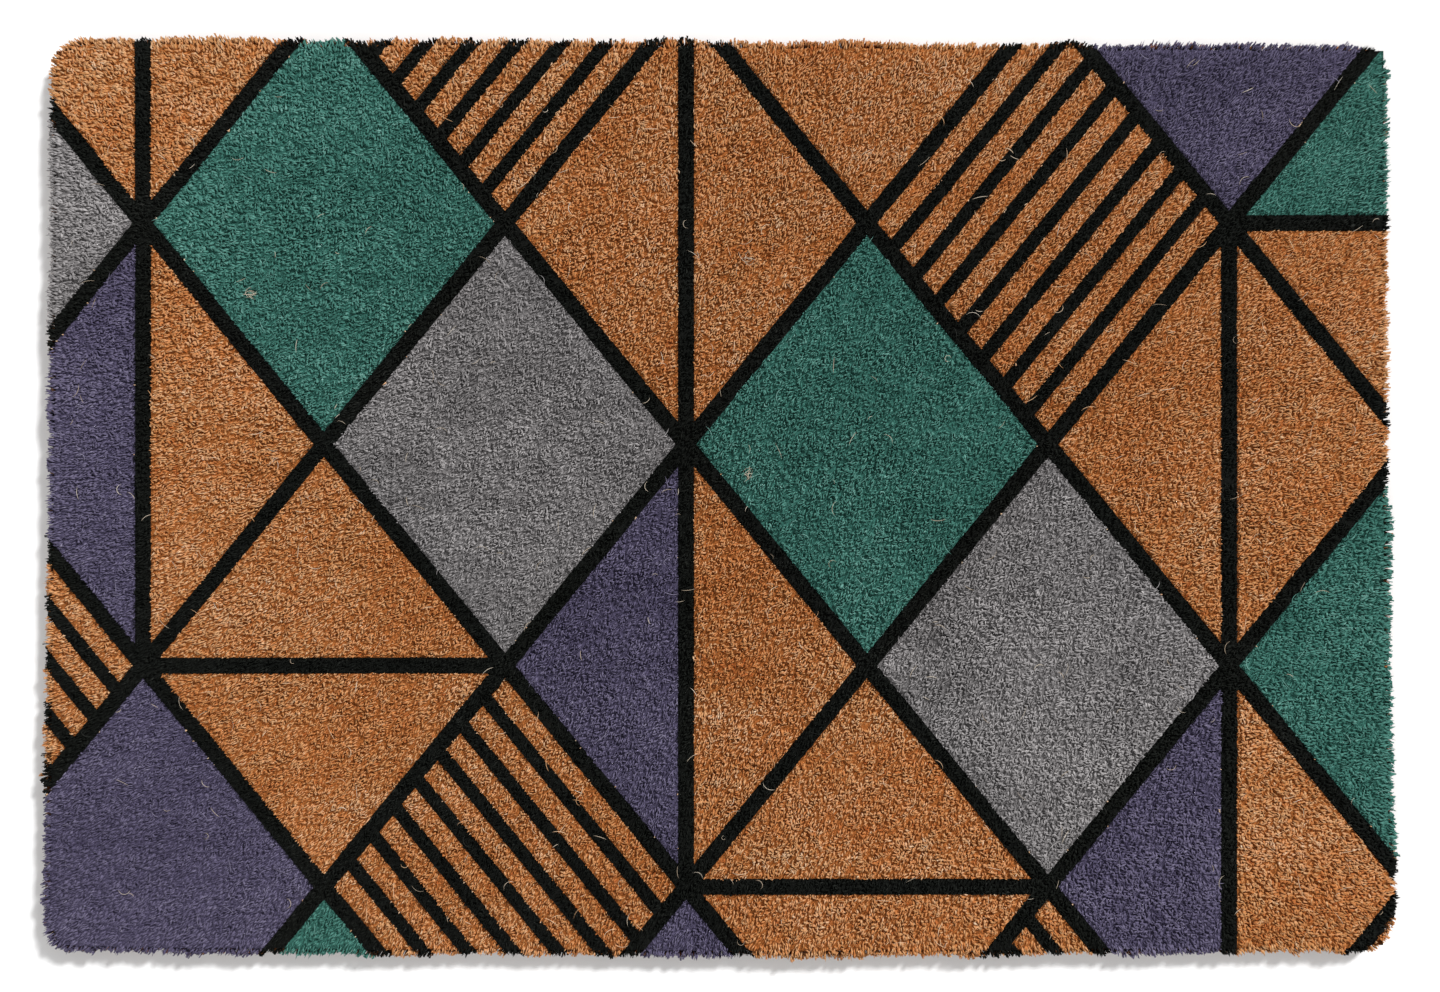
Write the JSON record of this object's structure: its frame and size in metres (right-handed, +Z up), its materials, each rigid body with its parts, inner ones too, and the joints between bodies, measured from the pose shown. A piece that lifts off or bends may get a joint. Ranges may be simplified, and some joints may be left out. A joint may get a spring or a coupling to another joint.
{
  "type": "doormat",
  "caption": "Flat rectangular coir doormat: dense short coconut-fibre pile with an uneven cut rim and small rounded corners, resting on its flat underside.",
  "frame": {"origin": "middle of the flat underside, at the centre of the mat's box", "axes": "+X along the long side, +Y along the short side towards the picture's top, +Z up out of the pile"},
  "size_m": [0.6048, 0.4112, 0.015],
  "materials": {
    "coir": "matte natural coconut-fibre pile, printed in black, green, violet and grey"
  },
  "bodies": {
    "root": {"mat": "coir"}
  },
  "joints": []
}
